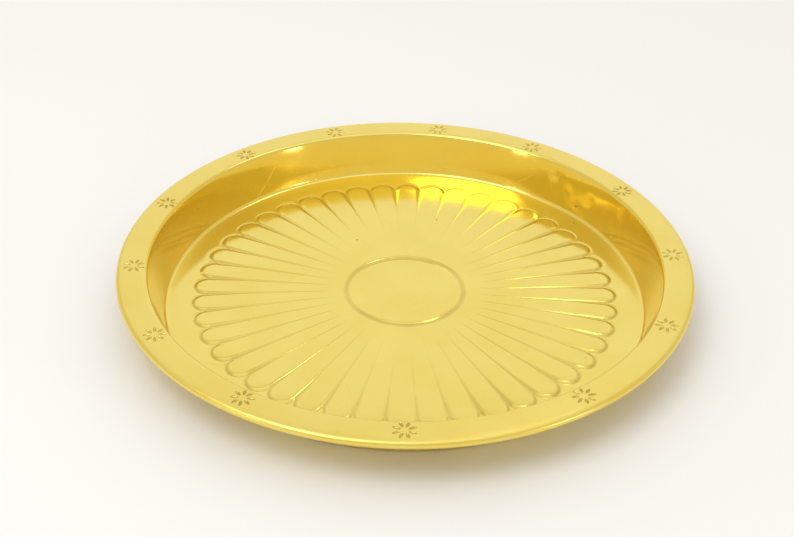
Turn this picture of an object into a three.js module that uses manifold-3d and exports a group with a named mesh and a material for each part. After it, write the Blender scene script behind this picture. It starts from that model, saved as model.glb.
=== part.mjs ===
// Round serving tray pressed from one brass sheet: a floor with a raised sunburst of petals,
// a steep wall, a flat rim with punched flowers, and an outer edge rolled round a stiffening wire.
// Millimetres, +Z up. The origin is the middle of the resting face, under the floor.
import * as THREE from 'three';
import { mergeVertices } from 'three/addons/utils/BufferGeometryUtils.js';
import Module from 'manifold-3d';

const wasm = await Module();
wasm.setup();

// Pan: sizes of the sheet's upper face, with the bends' radii on that face
const outerRadius = 150; // to the outside of the rolled edge
const overallHeight = 25;
const sheet = 0.8;
const rimWidth = 15.5; // from the outside to where the rim and the wall would meet without their bend
const wallLean = 7.5; // how far the wall comes in from the rim to the floor
const footBend = 2;
const shoulderBend = 2.4;

// Rolled edge and the wire in it
const wireDiameter = 2;
const wireClearance = 0.3;
const wireGap = 0.6; // between the wire's two butted ends
const rollSweep = THREE.MathUtils.degToRad(255); // how far the sheet's edge is turned round the wire

// Sunburst: a scalloped plate pressed up from the floor, divided into petals by tapering grooves
const petalCount = 44;
const firstNotchAngle = THREE.MathUtils.degToRad(3.4);
const floorMargin = 13.3; // plain floor between the wall and the tips of the petals
const scallopDepth = 6.2; // from a petal's tip back to the notch beside it
const plateRise = 0.5;
const plateSlope = 2; // width of the slope round the petal ends
const moatWidth = 1.2; // narrow slope sunk into the floor outside the petal ends
const moatDepth = 0.25;
const grooveStartRadius = 45; // where a groove fades out towards the centre
const grooveDepth = 0.45;
const grooveHalfWidth = 1.3;

// Ring groove round the plain centre disc
const ringRadius = 31.4;
const ringWidth = 4.2;
const ringBottomWidth = 1.6;
const ringDepth = 0.4;

// Flowers punched into the rim, each a circle of short dashes, unevenly spaced as a hand sets them
const flowerAngles = [1, 29, 57.5, 82, 108, 132.5, 160.5, 186.5, 212, 239, 270, 305, 334.5];
const flowerInset = 6.5; // from the rim's inner edge to the middle of a flower
const dashCount = 8;
const dashMiddleRadius = 3.9; // from the flower's centre to the middle of a dash
const dashHalfLength = 2;
const dashHalfWidth = 0.75;
const dashDepth = 0.35;

// Fineness of the round forms
const roundSteps = 72;
const bendSteps = 2;
const rollSteps = 7;
const wireSides = 6;
const petalSteps = 4;

// Sizes that follow from these
const shoulderRadius = outerRadius - rimWidth;
const footRadius = shoulderRadius - wallLean;
const petalTipRadius = footRadius - floorMargin;
const petalNotchRadius = petalTipRadius - scallopDepth;
const flowerCircleRadius = shoulderRadius + flowerInset;
const rollRadius = wireDiameter / 2 + wireClearance + sheet;
const rollCentre = new THREE.Vector2(outerRadius - rollRadius, overallHeight - rollRadius);
const halfPetal = Math.PI / petalCount;
const notchHalfChord = petalNotchRadius * Math.sin(halfPetal);
const petalEndHeight = petalTipRadius - petalNotchRadius * Math.cos(halfPetal);
const petalEndRadius = (notchHalfChord ** 2 + petalEndHeight ** 2) / (2 * petalEndHeight);
const petalEndCentre = petalTipRadius - petalEndRadius;
const plateTop = sheet + plateRise;

// Turns a closed three.js geometry into a solid that can be joined and cut.
function solidFrom(geometry) {
  geometry.deleteAttribute('normal');
  geometry.deleteAttribute('uv');
  const merged = mergeVertices(geometry);
  const corners = merged.index.array;
  const triVerts = [];
  for (let i = 0; i < corners.length; i += 3) {
    const [a, b, c] = corners.slice(i, i + 3);
    if (a !== b && b !== c && c !== a) triVerts.push(a, b, c);
  }
  const vertProperties = merged.attributes.position.array;
  const mesh = new wasm.Mesh({ numProp: 3, vertProperties, triVerts: new Uint32Array(triVerts) });
  return new wasm.Manifold(mesh);
}

function geometryFrom(solid) {
  const { vertProperties, triVerts } = solid.getMesh();
  const geometry = new THREE.BufferGeometry();
  geometry.setAttribute('position', new THREE.BufferAttribute(vertProperties, 3));
  geometry.setIndex(new THREE.BufferAttribute(triVerts, 1));
  geometry.computeVertexNormals();
  return geometry;
}

// Turns a profile of (radius, height) points about the tray's axis.
function turned(profile) {
  return new THREE.LatheGeometry(profile, roundSteps).rotateX(Math.PI / 2);
}

// Joins outlines of equal count, stacked upwards, and closes the stack at both ends.
function stacked(layers) {
  const count = layers[0].outline.length;
  const top = (layers.length - 1) * count;
  const positions = layers.flatMap(({ outline, z }) => outline.flatMap((point) => [point.x, point.y, z]));
  positions.push(0, 0, layers[0].z, 0, 0, layers.at(-1).z);
  const lowerMiddle = top + count;
  const upperMiddle = lowerMiddle + 1;
  const indices = [];
  for (let i = 0; i < count; i++) {
    const next = (i + 1) % count;
    for (let base = 0; base < top; base += count) {
      indices.push(base + i, base + next, base + count + next);
      indices.push(base + i, base + count + next, base + count + i);
    }
    indices.push(lowerMiddle, next, i);
    indices.push(upperMiddle, top + i, top + next);
  }
  const geometry = new THREE.BufferGeometry();
  geometry.setAttribute('position', new THREE.Float32BufferAttribute(positions, 3));
  geometry.setIndex(indices);
  return geometry;
}

// Takes a path straight on and round a corner, with a bend of the given radius, heading for next.
function bendRound(path, corner, next, radius) {
  const into = corner.clone().sub(path.currentPoint).normalize();
  const out = next.clone().sub(corner).normalize();
  const turn = Math.atan2(into.cross(out), into.dot(out));
  const setback = radius * Math.tan(Math.abs(turn) / 2);
  const start = corner.clone().addScaledVector(into, -setback);
  const toCentre = new THREE.Vector2(-into.y, into.x).multiplyScalar(Math.sign(turn) * radius);
  const centre = start.clone().add(toCentre);
  const startAngle = Math.atan2(-toCentre.y, -toCentre.x);
  path.absarc(centre.x, centre.y, radius, startAngle, startAngle + turn, turn < 0);
}

// Section of the pan: the upper face from the axis out to the rolled edge, given the sheet's thickness.
function panProfile() {
  const foot = new THREE.Vector2(footRadius, sheet);
  const shoulder = new THREE.Vector2(shoulderRadius, overallHeight);
  const rimEnd = new THREE.Vector2(rollCentre.x, overallHeight);
  const upperFace = new THREE.Path().moveTo(0, sheet);
  bendRound(upperFace, foot, shoulder, footBend);
  bendRound(upperFace, shoulder, rimEnd, shoulderBend);
  const rollStart = Math.PI / 2;
  upperFace.absarc(rollCentre.x, rollCentre.y, rollRadius, rollStart, rollStart - rollSweep, true);

  const arcs = upperFace.curves.filter((curve) => curve.isEllipseCurve);
  const upper = [new THREE.Vector2(0, sheet)];
  const lower = [new THREE.Vector2(0, 0)];
  arcs.forEach((arc, index) => {
    const steps = index < arcs.length - 1 ? bendSteps : rollSteps;
    for (let step = 0; step <= steps; step++) {
      const point = arc.getPoint(step / steps);
      const along = arc.getTangent(step / steps);
      upper.push(point);
      lower.push(new THREE.Vector2(point.x + along.y * sheet, point.y - along.x * sheet));
    }
  });
  return [...lower, ...upper.reverse()];
}

// Scalloped outline of all the petal ends, moved out by spread. Ends too small to meet stop at their sides.
function petalOutline(spread) {
  const radius = petalEndRadius + spread;
  const sideDistance = petalEndCentre * Math.sin(halfPetal);
  const reach = Math.sqrt(Math.max(radius ** 2 - sideDistance ** 2, 0));
  const sweep = Math.PI / 2 + halfPetal - Math.atan2(reach, sideDistance);
  const outline = [];
  for (let petal = 0; petal < petalCount; petal++) {
    const middle = firstNotchAngle + (2 * petal + 1) * halfPetal;
    const centre = new THREE.Vector2(petalEndCentre, 0).rotateAround(new THREE.Vector2(), middle);
    for (let step = 0; step <= petalSteps; step++) {
      const angle = middle + sweep * ((2 * step) / petalSteps - 1);
      outline.push(new THREE.Vector2(Math.cos(angle), Math.sin(angle)).multiplyScalar(radius).add(centre));
    }
  }
  return outline;
}

// A groove is a four-sided spike lying in the plate's top, its point towards the tray's centre.
function grooveSpike(index) {
  const end = petalNotchRadius + moatWidth;
  const length = end - grooveStartRadius;
  const spike = new THREE.ConeGeometry(1, length, 4);
  spike.scale(grooveHalfWidth, 1, grooveDepth);
  spike.translate(0, -grooveStartRadius - length / 2, plateTop);
  return spike.rotateZ(firstNotchAngle + 2 * index * halfPetal + Math.PI / 2);
}

function ringTool() {
  const levels = [-ringDepth, ringDepth];
  const inner = levels.map((level) => new THREE.Vector2(ringRadius - ringBottomWidth / 2, plateTop + level));
  const outer = levels.map((level) => new THREE.Vector2(ringRadius + ringBottomWidth / 2, plateTop + level));
  const innerEdge = new THREE.Vector2(ringRadius - ringWidth / 2, plateTop);
  const outerEdge = new THREE.Vector2(ringRadius + ringWidth / 2, plateTop);
  return turned([innerEdge, inner[0], outer[0], outerEdge, outer[1], inner[1], innerEdge]);
}

// The sunburst plate at a given height: the press leaves it on the floor, and its hollow underneath.
function sunburst(lift) {
  const ends = petalOutline(0);
  const plate = stacked([
    { outline: ends, z: sheet / 2 },
    { outline: ends, z: sheet - moatDepth },
    { outline: petalOutline(-plateSlope), z: plateTop },
  ]);
  const cuts = [ringTool()];
  for (let i = 0; i < petalCount; i++) cuts.push(grooveSpike(i));
  const tools = wasm.Manifold.union(cuts.map((cut) => solidFrom(cut.translate(0, 0, lift))));
  return solidFrom(plate.translate(0, 0, lift)).subtract(tools);
}

function moatTool() {
  const outside = petalOutline(moatWidth);
  return solidFrom(stacked([
    { outline: petalOutline(0), z: sheet - moatDepth },
    { outline: outside, z: sheet },
    { outline: outside, z: plateTop },
  ]));
}

// All the dashes of the punched flowers, each a boat-shaped pit in the rim's top.
function flowerTools() {
  const dashes = [];
  for (const degrees of flowerAngles) {
    for (let dash = 0; dash < dashCount; dash++) {
      const pit = new THREE.OctahedronGeometry(1).scale(dashHalfLength, dashHalfWidth, dashDepth);
      pit.translate(dashMiddleRadius, 0, 0).rotateZ(((dash + 0.5) / dashCount) * 2 * Math.PI);
      pit.translate(flowerCircleRadius, 0, overallHeight).rotateZ(THREE.MathUtils.degToRad(degrees));
      dashes.push(solidFrom(pit));
    }
  }
  return wasm.Manifold.union(dashes);
}

function pressedPan() {
  const blank = solidFrom(turned(panProfile()));
  const embossed = blank.subtract(moatTool()).add(sunburst(0)).subtract(sunburst(-sheet));
  return geometryFrom(embossed.subtract(flowerTools()));
}

// The wire is a ring in the rolled edge, sawn through once where its two ends butt.
function rimWire() {
  const section = [];
  for (let side = 0; side <= wireSides; side++) {
    const angle = (2 * Math.PI * (side % wireSides)) / wireSides;
    const point = new THREE.Vector2(Math.cos(angle), Math.sin(angle));
    section.push(point.multiplyScalar(wireDiameter / 2).add(rollCentre));
  }
  const sawCut = new THREE.BoxGeometry(wireGap, 2 * wireDiameter, 2 * wireDiameter);
  sawCut.translate(0, rollCentre.x, rollCentre.y);
  return geometryFrom(solidFrom(turned(section)).subtract(solidFrom(sawCut)));
}

const brass = new THREE.MeshStandardMaterial({ color: 0xe0c056, roughness: 0.22, metalness: 1 });
const steel = new THREE.MeshStandardMaterial({ color: 0x8d8d8a, roughness: 0.5, metalness: 1 });

const tray = new THREE.Group();
const pieces = [
  { name: 'pressed_pan', geometry: pressedPan(), material: brass },
  { name: 'rim_wire', geometry: rimWire(), material: steel },
];
for (const { name, geometry, material } of pieces) {
  const mesh = new THREE.Mesh(geometry, material);
  mesh.name = name;
  tray.add(mesh);
}

export default tray;
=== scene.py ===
# %% [markdown]
# # A pressed brass serving tray
# This lesson dresses a round brass tray. The solid model already holds the sizes, so the first step loads it
# as a fixed frame. Everything that follows is measured from that frame, in metres, and nothing in it moves.

# %% Load the frame
import math

import bmesh
import bpy
import numpy as np
from mathutils import Matrix, Vector


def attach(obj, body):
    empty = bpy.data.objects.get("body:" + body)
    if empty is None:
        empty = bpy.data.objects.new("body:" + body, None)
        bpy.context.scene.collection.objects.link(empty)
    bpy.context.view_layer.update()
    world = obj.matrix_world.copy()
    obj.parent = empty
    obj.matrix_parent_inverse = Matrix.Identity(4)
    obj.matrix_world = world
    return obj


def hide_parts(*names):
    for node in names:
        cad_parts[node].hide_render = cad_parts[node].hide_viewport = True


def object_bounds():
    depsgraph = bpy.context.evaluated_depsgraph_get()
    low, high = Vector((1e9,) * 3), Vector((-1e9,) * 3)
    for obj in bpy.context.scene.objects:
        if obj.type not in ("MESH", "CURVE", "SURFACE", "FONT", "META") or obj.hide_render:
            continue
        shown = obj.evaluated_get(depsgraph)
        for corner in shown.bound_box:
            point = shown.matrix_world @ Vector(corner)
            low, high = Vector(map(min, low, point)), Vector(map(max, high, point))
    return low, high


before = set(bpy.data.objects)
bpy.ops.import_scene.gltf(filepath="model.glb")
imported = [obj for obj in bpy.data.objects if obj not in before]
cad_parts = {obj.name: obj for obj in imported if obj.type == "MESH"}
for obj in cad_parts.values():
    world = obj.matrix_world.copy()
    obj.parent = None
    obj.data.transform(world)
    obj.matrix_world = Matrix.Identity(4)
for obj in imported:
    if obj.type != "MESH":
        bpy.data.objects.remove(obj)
cad_low, cad_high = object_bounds()
MM = 0.001
print("solid model, mm:", [round(side / MM, 2) for side in cad_high - cad_low])

# %% [markdown]
# ## The camera
# The view looks down at the tray from a little over thirty degrees, through a slightly long lens. The numbers
# describe where the camera stood from the middle of the rim: how high, how far, how much it was tilted.
# A matrix of its three directions places it exactly, which is simpler here than turning it by angles.

# %% Camera at the photograph's angle
IMAGE_WIDTH = 794
SENSOR_WIDTH = 36.0
FOCAL_PIXELS = 1280.0
CAMERA_ELEVATION = math.radians(33.8)
CAMERA_ROLL = math.radians(-0.92)
CAMERA_DISTANCE = 674 * MM
CAMERA_SIDE_STEP = -4.4 * MM
CAMERA_DROP = -6.5 * MM
RIM_PLANE = 22.9 * MM

back = Vector((0, -math.cos(CAMERA_ELEVATION), math.sin(CAMERA_ELEVATION)))
level_right = Vector((1, 0, 0))
level_up = back.cross(level_right)
camera_right = level_right * math.cos(CAMERA_ROLL) - level_up * math.sin(CAMERA_ROLL)
camera_up = level_right * math.sin(CAMERA_ROLL) + level_up * math.cos(CAMERA_ROLL)
camera_place = Vector((0, 0, RIM_PLANE)) + back * CAMERA_DISTANCE
camera_place += level_right * CAMERA_SIDE_STEP + level_up * CAMERA_DROP

lens = bpy.data.cameras.new("camera")
lens.sensor_width = SENSOR_WIDTH
lens.sensor_fit = "HORIZONTAL"
lens.lens = FOCAL_PIXELS / IMAGE_WIDTH * SENSOR_WIDTH
camera = bpy.data.objects.new("camera", lens)
turn = Matrix((camera_right, camera_up, back)).transposed().to_4x4()
camera.matrix_world = Matrix.Translation(camera_place) @ turn
bpy.context.scene.collection.objects.link(camera)
bpy.context.scene.camera = camera
print("lens, mm:", round(lens.lens, 1))

# %% [markdown]
# ## The sizes of the tray
# The outer sizes come from the frame. The others are the solid model's sizes, except that the roll ends a
# little sooner and the pressed relief is softer and shallower, so that it shades as in the photograph. The tray
# is one brass sheet, so its upper face decides nearly everything: the lower face lies one sheet below.

# %% Sizes
OUTER_RADIUS = cad_high.x
HEIGHT = cad_high.z
SHEET = 0.8 * MM
RIM_WIDTH = 15.5 * MM
WALL_LEAN = 7.5 * MM
FOOT_BEND = 2.0 * MM
SHOULDER_BEND = 2.4 * MM
ROLL_RADIUS = 2.1 * MM
ROLL_SWEEP = math.radians(240)
SHOULDER_RADIUS = OUTER_RADIUS - RIM_WIDTH
FOOT_RADIUS = SHOULDER_RADIUS - WALL_LEAN

PETAL_COUNT = 44
HALF_PETAL = math.pi / PETAL_COUNT
FIRST_NOTCH = math.radians(3.4)
PETAL_TIP = FOOT_RADIUS - 13.3 * MM
PETAL_NOTCH = PETAL_TIP - 6.2 * MM
PLATE_RISE = 0.5 * MM
PLATE_SLOPE = 2.6 * MM
MOAT_WIDTH = 1.2 * MM
MOAT_DEPTH = 0.16 * MM
GROOVE_START = 39 * MM
GROOVE_FULL = 98 * MM
GROOVE_DEPTH = 0.32 * MM
GROOVE_HALF_WIDTH = 1.05 * MM
GROOVE_TAPER = 0.55
RING_RADIUS = 31.4 * MM
RING_WIDTH = 4.2 * MM
RING_BOTTOM = 1.2 * MM
RING_DEPTH = 0.4 * MM

# A petal ends in a round arc that runs through its tip and the two notches beside it.
notch_half_chord = PETAL_NOTCH * math.sin(HALF_PETAL)
end_height = PETAL_TIP - PETAL_NOTCH * math.cos(HALF_PETAL)
END_RADIUS = (notch_half_chord ** 2 + end_height ** 2) / (2 * end_height)
END_CENTRE = PETAL_TIP - END_RADIUS
print("petal end radius, mm:", round(END_RADIUS / MM, 2))

# %% [markdown]
# ## The pressed relief
# The press raises a scalloped plate on the floor and leaves a narrow moat outside its round ends.
# Tapering grooves part the petals and fade out towards the centre disc. A displacement map could fake this,
# but a rule that gives the height at any point keeps every edge clean and lets the reverse show underneath.

# %% Height of the floor's relief
def soft_step(value):
    """Runs from 0 to 1 with softly rounded ends, as pressed metal bends."""
    ramp = np.clip(value, 0, 1)
    return 0.5 * ramp + 0.5 * ramp * ramp * (3 - 2 * ramp)


def groove_height(radius, angle):
    """Height of the petals over the floor, with the grooves between them."""
    to_groove = radius * np.sin(HALF_PETAL - np.abs(angle))
    width = GROOVE_HALF_WIDTH * (1 - GROOVE_TAPER * (1 - radius / PETAL_NOTCH))
    fade = np.clip((radius - GROOVE_START) / (GROOVE_FULL - GROOVE_START), 0, 1) ** 0.6
    return PLATE_RISE - GROOVE_DEPTH * fade * (1 - soft_step(to_groove / width))


def ring_cut(radius):
    slope = (RING_WIDTH - RING_BOTTOM) / 2
    return RING_DEPTH * soft_step((RING_WIDTH / 2 - np.abs(radius - RING_RADIUS)) / slope)


def inside_petal(x, y):
    """How far a point lies inside the petal's round end: negative outside it."""
    return END_RADIUS - np.hypot(np.maximum(x - END_CENTRE, 0), y)


def floor_relief(x, y, moat):
    """Height of the relief at points of one petal that lies along X. The moat is only on the upper face."""
    radius = np.hypot(x, y)
    inside = inside_petal(x, y)
    rise = (PLATE_RISE + moat) * soft_step(inside / PLATE_SLOPE) - moat
    plate = np.minimum(rise, groove_height(radius, np.arctan2(y, x)) - ring_cut(radius))
    outside = -moat * (1 - soft_step(-inside / MOAT_WIDTH))
    return np.where(inside > 0, plate, outside)


petal_middle = (GROOVE_START + PETAL_TIP) / 2
middle_height = float(floor_relief(np.array(petal_middle), np.array(0.0), MOAT_DEPTH))
print("relief at a petal's middle, mm:", round(middle_height / MM, 3))

# %% [markdown]
# ## One slice of the tray
# The tray repeats once for each petal, so one slice is enough: a net of rows, from the centre out over the
# rim, round the rolled edge and back underneath, and columns across the petal. Rows near the petal ends
# follow the scallops and columns crowd beside the grooves, so that edges fall on mesh lines and stay crisp.

# %% Rows and columns of the slice
half_columns = [0, 0.25, 0.48, 0.67, 0.78, 0.84, 0.92, 1]
columns = np.array([-share for share in half_columns[:0:-1]] + half_columns)


def circle_row(radius):
    return np.stack([radius * np.cos(columns * HALF_PETAL), radius * np.sin(columns * HALF_PETAL)])


def scallop_row(offset):
    """A row that follows the petal's round end, moved out by the offset."""
    radius = END_RADIUS + offset
    side = END_CENTRE * math.sin(HALF_PETAL)
    meets = radius > side
    sweep = math.pi / 2 + HALF_PETAL
    if meets:
        sweep -= math.acos(side / radius)
    arc_end = 1.0 if meets else 0.84
    angles = np.clip(columns / arc_end, -1, 1) * sweep
    row = np.stack([END_CENTRE + radius * np.cos(angles), radius * np.sin(angles)])
    if not meets:
        # Past the arc's end the row crosses over to the groove's bottom.
        end = row[:, -1]
        groove = np.hypot(*end) * np.array([math.cos(HALF_PETAL), math.sin(HALF_PETAL)])
        share = np.clip((np.abs(columns) - arc_end) / (1 - arc_end), 0, 1)
        across = end[:, None] * (1 - share) + groove[:, None] * share
        across[1] *= np.sign(columns)
        row = np.where(np.abs(columns) > arc_end, across, row)
    return row


def between(first, last, count):
    return [first + (last - first) * (i + 1) / (count + 1) for i in range(count)]


centre_radii = [0, 8, 16, 24, 28.6]
ring_radii = [29.1, 29.6, 30.2, 30.8, 31.4, 32, 32.6, 33.2, 33.7, 34.2]
petal_radii = [38, 42, 46, 51, 57, 64, 71, 78, 85, 91]
end_offsets = [-2.9, -2.3, -1.9, -1.4, -0.9, -0.45, 0, 0.25, 0.6, 0.95, 1.3]
margin_radii = [118, 121, 123.5]

inner_rows = [circle_row(radius * MM) for radius in centre_radii + ring_radii + petal_radii]
end_rows = [scallop_row(offset * MM) for offset in end_offsets]
margin_rows = [circle_row(radius * MM) for radius in margin_radii]
floor_rows = inner_rows + between(inner_rows[-1], end_rows[0], 2) + end_rows
floor_rows += between(end_rows[-1], margin_rows[0], 1) + margin_rows
print("floor rows:", len(floor_rows), "columns:", len(columns))

# %% [markdown]
# ## The sheet's bends
# Outside the floor the slice is plain: foot bend, wall, shoulder, rim and rolled edge, all turned about the
# axis. Each bend has one centre for both faces, which keeps the sheet equally thick all the way round.

# %% Section of wall, rim and rolled edge
wall_angle = math.atan2(HEIGHT - SHEET, WALL_LEAN)
foot_centre = (FOOT_RADIUS - FOOT_BEND * math.tan(wall_angle / 2), SHEET + FOOT_BEND)
shoulder_centre = (SHOULDER_RADIUS + SHOULDER_BEND * math.tan(wall_angle / 2), HEIGHT - SHOULDER_BEND)
roll_centre = (OUTER_RADIUS - ROLL_RADIUS, HEIGHT - ROLL_RADIUS)
UP = math.pi / 2


def arc(centre, radius, start, end, steps):
    angles = np.linspace(start, end, steps + 1)
    return [(centre[0] + radius * math.cos(a), centre[1] + radius * math.sin(a)) for a in angles]


def face_section(depth, bend_steps, roll_steps, straight_steps):
    """Points of one face, from the floor's edge to the end of the roll, at a depth under the upper face."""
    foot = arc(foot_centre, FOOT_BEND + depth, -UP, wall_angle - UP, bend_steps)
    shoulder = arc(shoulder_centre, SHOULDER_BEND - depth, UP + wall_angle, UP, bend_steps)
    roll = arc(roll_centre, ROLL_RADIUS - depth, UP, UP - ROLL_SWEEP, roll_steps)
    wall = between(np.array(foot[-1]), np.array(shoulder[0]), straight_steps)
    rim = between(np.array(shoulder[-1]), np.array(roll[0]), straight_steps)
    return foot + wall + shoulder + rim + roll


upper_section = face_section(0, 7, 16, 3)
lower_section = face_section(SHEET, 5, 9, 2)
edge_end = np.array(upper_section[-1])
edge_middle = (edge_end + np.array(lower_section[-1])) / 2
along_edge = np.array([edge_end[1] - edge_middle[1], edge_middle[0] - edge_end[0]])
round_edge = [edge_middle - along_edge * 0.9]
print("section points:", len(upper_section) + len(lower_section))

# %% [markdown]
# The rows are now stacked in order and joined to a net. Two numbers are stored at each point for the brass
# later: how deep it lies in the relief, where polish and dirt stay and where shade is painted, and whether it
# is on the underside.

# %% Mesh of one slice
def slice_mesh():
    places = []
    recess = []
    underside = []
    for x, y in floor_rows:
        height = floor_relief(x, y, MOAT_DEPTH)
        places.append(np.stack([x, y, SHEET + height], 1))
        below = np.where(inside_petal(x, y) > 0, PLATE_RISE, 0) - height
        recess.append(np.clip(below / GROOVE_DEPTH, 0, 1) ** 3)
        underside.append(np.zeros(len(columns)))
    lower_floor = [(x, y) for x, y in floor_rows][::-1]
    for index, (radius, z) in enumerate(upper_section + round_edge + lower_section[::-1]):
        x, y = circle_row(radius)
        places.append(np.stack([x, y, np.full(len(columns), z)], 1))
        recess.append(np.zeros(len(columns)))
        underside.append(np.full(len(columns), float(index > len(upper_section))))
    for x, y in lower_floor:
        places.append(np.stack([x, y, np.maximum(floor_relief(x, y, 0.0), 0)], 1))
        recess.append(np.zeros(len(columns)))
        underside.append(np.ones(len(columns)))

    width = len(columns)
    faces = []
    for row in range(len(places) - 1):
        for column in range(width - 1):
            first = row * width + column
            faces.append((first, first + width, first + width + 1, first + 1))
    mesh = bpy.data.meshes.new("tray_slice")
    mesh.from_pydata(np.concatenate(places).tolist(), [], faces)
    for name, values in (("recess", recess), ("underside", underside)):
        mesh.attributes.new(name, "FLOAT", "POINT").data.foreach_set("value", np.concatenate(values))

    # The centre rows are single points, so their doubled corners are merged.
    net = bmesh.new()
    net.from_mesh(mesh)
    bmesh.ops.remove_doubles(net, verts=net.verts, dist=0.0005 * MM)
    bmesh.ops.dissolve_degenerate(net, edges=net.edges, dist=0.0005 * MM)
    net.to_mesh(mesh)
    net.free()
    return mesh


tray_slice = slice_mesh()
print("slice faces:", len(tray_slice.polygons))

# %% [markdown]
# ## Nodes as plain maths
# Node trees read best as formulas. This small class wraps a socket, so that adding or multiplying two of them
# adds the Math node that does it. One method makes every other node from its type, settings and sockets.

# %% A socket that can be calculated with
class Wire:
    def __init__(self, graph, socket):
        self.graph = graph
        self.socket = socket

    def __add__(self, other):
        return self.graph.maths("ADD", self, other)

    __radd__ = __add__

    def __mul__(self, other):
        return self.graph.maths("MULTIPLY", self, other)

    __rmul__ = __mul__

    def __sub__(self, other):
        return self.graph.maths("SUBTRACT", self, other)

    def __rsub__(self, other):
        return self.graph.maths("SUBTRACT", other, self)

    def __truediv__(self, other):
        return self.graph.maths("DIVIDE", self, other)

    def __pow__(self, other):
        return self.graph.maths("POWER", self, other)


class Graph:
    def __init__(self, tree):
        self.tree = tree

    def node(self, kind, settings=None, sockets=None, out=0):
        made = self.tree.nodes.new(kind)
        for name, value in (settings or {}).items():
            setattr(made, name, value)
        for name, value in (sockets or {}).items():
            if isinstance(value, Wire):
                self.tree.links.new(value.socket, made.inputs[name])
            else:
                made.inputs[name].default_value = value
        if isinstance(out, tuple):
            return [Wire(self, made.outputs[name]) for name in out]
        return made if out is None else Wire(self, made.outputs[out])

    def maths(self, operation, first, second=0.0):
        return self.node("ShaderNodeMath", {"operation": operation}, {0: first, 1: second})

    def ramp(self, value, start, end):
        """Runs smoothly from 0 to 1 as the value goes from start to end."""
        sockets = {"Value": value, "From Min": start, "From Max": end}
        return self.node("ShaderNodeMapRange", {"interpolation_type": "SMOOTHSTEP"}, sockets)

    def mix(self, share, first, second):
        return self.node("ShaderNodeMix", {"data_type": "RGBA"}, {0: share, 6: first, 7: second}, out=2)

    def noise(self, place, scale, detail=2.0, roughness=0.5):
        sockets = {"Vector": place, "Scale": scale, "Detail": detail, "Roughness": roughness}
        return self.node("ShaderNodeTexNoise", None, sockets)

    def vector(self, x, y, z):
        return self.node("ShaderNodeCombineXYZ", None, {"X": x, "Y": y, "Z": z})

    def stretched(self, place, turn, scale):
        """The place, turned about Z and then scaled, for streaks in one direction."""
        turned = self.node("ShaderNodeMapping", None, {"Vector": place, "Rotation": (0, 0, turn)})
        return self.node("ShaderNodeMapping", None, {"Vector": turned, "Scale": scale})


print("node helpers ready")

# %% [markdown]
# ## Brass
# Brass is a yellow metal, so nearly all its colour is in its reflections. The floor and the wall are
# polished, the rim has a satin finish with fine lines that run round it, and the underside is dull. Years of
# use leave hair scratches, a few dark pits, soft dents and dirt in the grooves. The grooves, the moat and the
# punched dashes are also darkened with painted shade, and the wall is warmed with a painted reflection. Each of
# these is a mask here.

# %% Brass material
POLISHED_BRASS = (0.87, 0.70, 0.18, 1)
# A warmer brass, for tone that differs at random and for the wall's painted reflection.
WARM_BRASS = (0.84, 0.64, 0.13, 1)
# A dark brass for dirt and painted shade in the hollows, and for tarnish underneath.
DIRT_AND_SHADE_BRASS = (0.42, 0.29, 0.06, 1)
PIT_BROWN = (0.14, 0.09, 0.03, 1)


def new_material(name):
    material = bpy.data.materials.new(name)
    material.use_nodes = True
    graph = Graph(material.node_tree)
    shader = material.node_tree.nodes["Principled BSDF"]
    return material, graph, shader


def scratches(graph, place):
    """Fine hair lines in several directions, 1 on a line and 0 elsewhere."""
    lines = None
    for turn, offset in ((0.35, 1.1), (1.25, 4.7), (2.2, 9.3)):
        moved = graph.node("ShaderNodeVectorMath", {"operation": "ADD"}, {0: place, 1: (offset, offset, 0)})
        streak = graph.noise(graph.stretched(moved, turn, (26.0, 1500.0, 26.0)), 1.0, 1.0)
        line = graph.ramp(streak, 0.72, 0.78)
        lines = line if lines is None else lines + line
    return graph.maths("MINIMUM", lines, 1.0)


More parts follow.
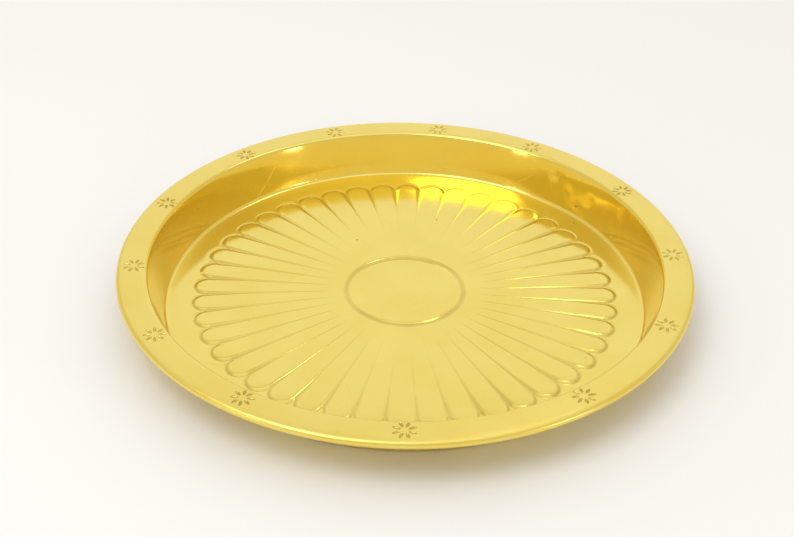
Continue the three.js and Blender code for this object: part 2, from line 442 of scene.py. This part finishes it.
def brass_sheet():
    material, graph, shader = new_material("brass_sheet")
    place = graph.node("ShaderNodeTexCoord", out="Object")
    x, y, z = graph.node("ShaderNodeSeparateXYZ", None, {"Vector": place}, out=("X", "Y", "Z"))
    radius = (x * x + y * y) ** 0.5
    angle = graph.maths("ARCTAN2", y, x)
    recess = graph.node("ShaderNodeAttribute", {"attribute_name": "recess"}, out="Fac")
    under = graph.node("ShaderNodeAttribute", {"attribute_name": "underside"}, out="Fac")
    upper = 1 - under

    rim = graph.ramp(radius, SHOULDER_RADIUS + 0.6 * MM, SHOULDER_RADIUS + 2.2 * MM) * upper
    wall = graph.ramp(z, SHEET + 1.0 * MM, SHEET + 2.5 * MM) * (1 - rim) * upper
    lines = graph.noise(graph.vector(radius * 2600.0, angle * 3.0, z * 2600.0), 1.0, 3.0, 0.6)
    clouds = graph.noise(place, 28.0, 4.0, 0.55)
    scratch = scratches(graph, place) * upper

    speckled = {"Vector": place, "Scale": 110.0}
    cells = graph.node("ShaderNodeTexVoronoi", None, speckled, out=("Distance", "Color"))
    chosen = graph.ramp(graph.node("ShaderNodeSeparateColor", None, {0: cells[1]}), 0.93, 0.94)
    pits = chosen * (1 - graph.ramp(cells[0], 0.035, 0.075)) * upper

    # The tone differs at random, and the wall is a quarter warmer as a painted reflection of brass in brass.
    tone_and_painted_reflection = graph.mix(graph.ramp(clouds, 0.35, 0.7) * 0.5 + wall * 0.25, POLISHED_BRASS, WARM_BRASS)
    # Painted shade, with dirt, darkens the grooves and the moat; painted shade darkens the punched dashes.
    # Underneath, patches of tarnish darken the brass.
    dirt_and_shade = graph.maths("MINIMUM", recess * clouds * 0.6 + under * graph.ramp(clouds, 0.4, 0.75) * 0.45, 0.8)
    darkened = graph.mix(dirt_and_shade, tone_and_painted_reflection, DIRT_AND_SHADE_BRASS)
    colour = graph.mix(pits, darkened, PIT_BROWN)

    polish = 0.105 + clouds * 0.05 + scratch * 0.16 + recess * 0.05 + pits * 0.4
    satin = 0.22 + lines * 0.16
    roughness = polish * (1 - rim) + satin * rim + under * 0.22 - wall * 0.03

    # Heights for the bump, in metres: slow waves of the hand-polished sheet, dents in the wall, polish lines.
    waves = graph.noise(place, 21.0, 1.5) * (0.10 * MM)
    dents = graph.node("ShaderNodeTexVoronoi", None, {"Vector": place, "Scale": 34.0}, out="Distance")
    dented = (1 - graph.ramp(dents, 0.0, 0.28)) * wall * (0.18 * MM)
    brushed = lines * (rim * 0.9 + under * 0.6 + 0.12) * (0.006 * MM)
    height = waves - dented + brushed - scratch * (0.004 * MM) - pits * (0.03 * MM)
    normal = graph.node("ShaderNodeBump", None, {"Strength": 1.0, "Distance": 1.0, "Height": height})

    shader.inputs["Metallic"].default_value = 1.0
    for name, wire in (("Base Color", colour), ("Roughness", roughness), ("Normal", normal)):
        graph.tree.links.new(wire.socket, shader.inputs[name])
    return material


brass = brass_sheet()
print("brass nodes:", len(brass.node_tree.nodes))

# %% [markdown]
# ## The tray, turned from its slice
# Geometry Nodes set one copy of the slice for each petal round the axis, as a turntable would, and weld the
# seams. The tree ends in a plain welded mesh, so nothing depends on instances later.

# %% Turn the slice round the axis
def new_tree(name, inputs):
    tree = bpy.data.node_groups.new(name, "GeometryNodeTree")
    tree.interface.new_socket("Geometry", in_out="INPUT", socket_type="NodeSocketGeometry")
    for label, kind in inputs:
        tree.interface.new_socket(label, in_out="INPUT", socket_type=kind)
    tree.interface.new_socket("Geometry", in_out="OUTPUT", socket_type="NodeSocketGeometry")
    graph = Graph(tree)
    names = tuple(["Geometry"] + [label for label, kind in inputs])
    wires = graph.node("NodeGroupInput", out=names)
    return tree, graph, wires


def finish_tree(graph, geometry, material):
    """Gives the result its material and ends the tree."""
    smooth = graph.node("GeometryNodeSetShadeSmooth", None, {"Geometry": geometry})
    finished = graph.node("GeometryNodeSetMaterial", None, {"Geometry": smooth, "Material": material})
    graph.node("NodeGroupOutput", None, {"Geometry": finished}, out=None)


def run_tree(obj, tree, values):
    """Sets the tree's inputs by their identifiers, and turns the result into a plain mesh."""
    modifier = obj.modifiers.new(tree.name, "NODES")
    modifier.node_group = tree
    for item in tree.interface.items_tree:
        if item.in_out == "INPUT" and item.name in values:
            modifier[item.identifier] = values[item.name]
    evaluated = obj.evaluated_get(bpy.context.evaluated_depsgraph_get())
    mesh = bpy.data.meshes.new_from_object(evaluated)
    obj.modifiers.remove(modifier)
    return mesh


def new_object(name, mesh):
    obj = bpy.data.objects.new(name, mesh)
    bpy.context.scene.collection.objects.link(obj)
    return obj


def turntable_tree():
    inputs = [
        ("Copies", "NodeSocketInt"),
        ("First angle", "NodeSocketFloat"),
        ("Material", "NodeSocketMaterial"),
    ]
    tree, graph, (piece, copies, first, material) = new_tree("turntable", inputs)
    points = graph.node("GeometryNodeMeshLine", None, {"Count": copies, "Offset": (0, 0, 0)})
    index = graph.node("GeometryNodeInputIndex")
    turn = graph.vector(0.0, 0.0, first + index * (2 * math.pi) / copies)
    turned = {"Points": points, "Instance": piece, "Rotation": turn}
    placed = graph.node("GeometryNodeInstanceOnPoints", None, turned)
    whole = graph.node("GeometryNodeRealizeInstances", None, {"Geometry": placed})
    welded = graph.node("GeometryNodeMergeByDistance", None, {"Geometry": whole, "Distance": 0.001 * MM})
    finish_tree(graph, welded, material)
    return tree


slice_object = new_object("tray_slice", tray_slice)
turn_values = {"Copies": PETAL_COUNT, "First angle": FIRST_NOTCH + HALF_PETAL, "Material": brass}
pan_mesh = run_tree(slice_object, turntable_tree(), turn_values)
bpy.data.objects.remove(slice_object)
pan = new_object("tray_pan", pan_mesh)
print("pan faces:", len(pan_mesh.polygons))

# %% [markdown]
# ## The punched flowers
# A hand punch leaves a circle of short dashes, here at thirteen places on the rim that aren't quite evenly
# spaced. A Geometry Nodes tree sets one dash round a flower and the flower at each mark. The result is the
# punch itself, which a Boolean then takes out of the rim: the dashes are real hollows, darkened with painted
# shade.

# %% Punch the flowers into the rim
FLOWER_ANGLES = [1, 29, 57.5, 82, 108, 132.5, 160.5, 186.5, 212, 239, 270, 305, 334.5]
FLOWER_RADIUS = SHOULDER_RADIUS + 6.5 * MM
DASH_COUNT = 8
DASH_MIDDLE = 3.9 * MM
DASH_SIZE = Vector((2.0, 0.8, 0.45)) * MM
# How strongly painted shade darkens the punched dashes.
FLOWER_PAINTED_SHADE = 2.0


def flower_tree():
    inputs = [
        ("Dashes", "NodeSocketInt"),
        ("Dash middle", "NodeSocketFloat"),
        ("Dash size", "NodeSocketVector"),
        ("Material", "NodeSocketMaterial"),
    ]
    tree, graph, (marks, dashes, middle, size, material) = new_tree("flowers", inputs)
    ball = graph.node("GeometryNodeMeshUVSphere", None, {"Segments": 12, "Rings": 7, "Radius": 1.0})
    sized = graph.node("GeometryNodeTransform", None, {"Geometry": ball, "Scale": size})
    away = graph.vector(middle, 0.0, 0.0)
    dash = graph.node("GeometryNodeTransform", None, {"Geometry": sized, "Translation": away})
    ring = graph.node("GeometryNodeMeshLine", None, {"Count": dashes, "Offset": (0, 0, 0)})
    index = graph.node("GeometryNodeInputIndex")
    turn = graph.vector(0.0, 0.0, (index + 0.5) * (2 * math.pi) / dashes)
    turned = {"Points": ring, "Instance": dash, "Rotation": turn}
    flower = graph.node("GeometryNodeInstanceOnPoints", None, turned)
    heading = graph.node("GeometryNodeInputNamedAttribute", {"data_type": "FLOAT"}, {"Name": "heading"})
    facing = graph.vector(0.0, 0.0, heading)
    stamped = {"Points": marks, "Instance": flower, "Rotation": facing}
    placed = graph.node("GeometryNodeInstanceOnPoints", None, stamped)
    whole = graph.node("GeometryNodeRealizeInstances", None, {"Geometry": placed})
    # The dashes store this value as their recess, which the brass turns into painted shade.
    stored = {"Geometry": whole, "Name": "recess", "Value": FLOWER_PAINTED_SHADE}
    darkened = graph.node("GeometryNodeStoreNamedAttribute", {"data_type": "FLOAT", "domain": "POINT"}, stored)
    finish_tree(graph, darkened, material)
    return tree


marks_mesh = bpy.data.meshes.new("flower_marks")
headings = [math.radians(angle) for angle in FLOWER_ANGLES]
mark_places = [(FLOWER_RADIUS * math.cos(a), FLOWER_RADIUS * math.sin(a), HEIGHT) for a in headings]
marks_mesh.from_pydata(mark_places, [], [])
marks_mesh.attributes.new("heading", "FLOAT", "POINT").data.foreach_set("value", headings)
marks = new_object("flower_marks", marks_mesh)
flower_values = {"Dashes": DASH_COUNT, "Dash middle": DASH_MIDDLE, "Dash size": DASH_SIZE, "Material": brass}
punch = new_object("flower_punch", run_tree(marks, flower_tree(), flower_values))

cut = pan.modifiers.new("punch", "BOOLEAN")
cut.operation = "DIFFERENCE"
cut.solver = "MANIFOLD"
cut.object = punch
punched = bpy.data.meshes.new_from_object(pan.evaluated_get(bpy.context.evaluated_depsgraph_get()))
pan.modifiers.remove(cut)
pan.data = punched
for helper in (marks, punch):
    bpy.data.objects.remove(helper)
SHARP_EDGE = math.radians(40)
punched.set_sharp_from_angle(angle=SHARP_EDGE)
print("punched pan triangles:", sum(len(face.vertices) - 2 for face in punched.polygons))

# %% [markdown]
# The finished pan stands for the solid pan of the frame. It rides on the tray's one body.

# %% Give the pan its place in the frame
pan_net = bmesh.new()
pan_net.from_mesh(punched)
loose_edges = sum(1 for edge in pan_net.edges if not edge.is_manifold)
print("pan volume, cubic mm:", round(pan_net.calc_volume(signed=True) / MM ** 3), "open edges:", loose_edges)
pan_net.free()
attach(pan, "root")
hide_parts("pressed_pan")

# %% [markdown]
# ## The wire in the edge
# A steel wire hides in the rolled edge and shows only from below, through the slit. The solid model's own
# ring is the right shape, so it stays and gets drawn steel: grey, with fine lines along it and some rust.

# %% Steel wire material
WIRE_GREY = (0.42, 0.41, 0.39, 1)
WIRE_RUST = (0.24, 0.13, 0.07, 1)


def drawn_steel():
    material, graph, shader = new_material("edge_wire")
    place = graph.node("ShaderNodeTexCoord", out="Object")
    x, y, z = graph.node("ShaderNodeSeparateXYZ", None, {"Vector": place}, out=("X", "Y", "Z"))
    radius = (x * x + y * y) ** 0.5
    angle = graph.maths("ARCTAN2", y, x)
    drawn = graph.noise(graph.vector(radius * 5000.0, angle * 6.0, z * 5000.0), 1.0, 2.0)
    rust = graph.ramp(graph.noise(place, 90.0, 5.0, 0.6), 0.5, 0.68)
    colour = graph.mix(rust, WIRE_GREY, WIRE_RUST)
    roughness = 0.34 + drawn * 0.12 + rust * 0.3
    normal = graph.node("ShaderNodeBump", None, {"Distance": 1.0, "Height": drawn * (0.004 * MM)})
    metal = 1 - rust * 0.8
    wires = (("Base Color", colour), ("Roughness", roughness), ("Metallic", metal), ("Normal", normal))
    for name, wire in wires:
        graph.tree.links.new(wire.socket, shader.inputs[name])
    return material


wire_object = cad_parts["rim_wire"]
wire_object.data.materials.clear()
wire_object.data.materials.append(drawn_steel())
print("wire triangles:", len(wire_object.data.polygons))

# %% [markdown]
# ## The studio
# Polished metal shows its surroundings, so the light is really a room. A white wall stands behind the tray,
# which the floor of the tray mirrors, under a white ceiling. The rest of the room is dimmer, and warm low
# down behind the camera, which gives the tray's wall its deep gold and the grooves their darker lines. A soft
# lamp adds the shadow, and three small ones the glints.

# %% World, lamps and floor
WHITE_WALL = (1.0, 1.0, 1.0, 1)
WHITE_CEILING = (1.1, 1.1, 1.1, 1)
HIGH_ROOM = (0.80, 0.75, 0.64, 1)
LOW_ROOM = (0.92, 0.76, 0.36, 1)


def room_world():
    world = bpy.data.worlds.new("room")
    world.use_nodes = True
    graph = Graph(world.node_tree)
    direction = graph.node("ShaderNodeTexCoord", out="Generated")
    x, y, z = graph.node("ShaderNodeSeparateXYZ", None, {"Vector": direction}, out=("X", "Y", "Z"))
    middle = 1 - graph.ramp(graph.maths("ABSOLUTE", x), 0.22, 0.55)
    behind = graph.ramp(y, -0.2, 0.3) * middle * (1 - graph.ramp(z, 0.62, 0.8))
    front = graph.mix(graph.ramp(z, 0.08, 0.4), LOW_ROOM, HIGH_ROOM)
    walls = graph.mix(behind, front, WHITE_WALL)
    room = graph.mix(graph.ramp(z, 0.8, 0.92), walls, WHITE_CEILING)
    background = world.node_tree.nodes["Background"]
    graph.tree.links.new(room.socket, background.inputs["Color"])
    background.inputs["Strength"].default_value = 1.0
    return world


def soft_lamp(name, place, target, size, watts):
    light = bpy.data.lights.new(name, "AREA")
    light.size = size
    light.energy = watts
    lamp = bpy.data.objects.new(name, light)
    lamp.location = place
    lamp.rotation_euler = (Vector(target) - Vector(place)).to_track_quat("-Z", "Y").to_euler()
    bpy.context.scene.collection.objects.link(lamp)
    return lamp


bpy.context.scene.world = room_world()
soft_lamp("key_lamp", (-0.6, -0.5, 1.3), (0, 0, 0), 0.9, 5.5)
soft_lamp("ceiling_glint", (0.22, 0.6, 1.0), (0, 0, 0), 0.12, 0.14)
soft_lamp("left_glint", (-1.2, -0.85, 0.34), (0, 0.1, 0), 0.16, 0.45)
soft_lamp("right_glint", (1.2, -0.85, 0.34), (0, 0.1, 0), 0.16, 1.0)

FLOOR_SIZE = 40.0
FLOOR_DROP = 0.05 * MM
floor_mesh = bpy.data.meshes.new("studio_floor")
corner = FLOOR_SIZE / 2
floor_corners = [(-corner, -corner, 0), (corner, -corner, 0), (corner, corner, 0), (-corner, corner, 0)]
floor_mesh.from_pydata(floor_corners, [], [(0, 1, 2, 3)])
floor = new_object("studio_floor", floor_mesh)
floor.location.z = -FLOOR_DROP
floor_material, floor_graph, floor_shader = new_material("studio_floor")
floor_shader.inputs["Base Color"].default_value = (0.88, 0.89, 0.92, 1)
floor_shader.inputs["Roughness"].default_value = 0.9
floor_shader.inputs["Specular IOR Level"].default_value = 0.1
floor_mesh.materials.append(floor_material)

bpy.context.scene.view_settings.view_transform = "Standard"
print("lamps:", len(bpy.data.lights))
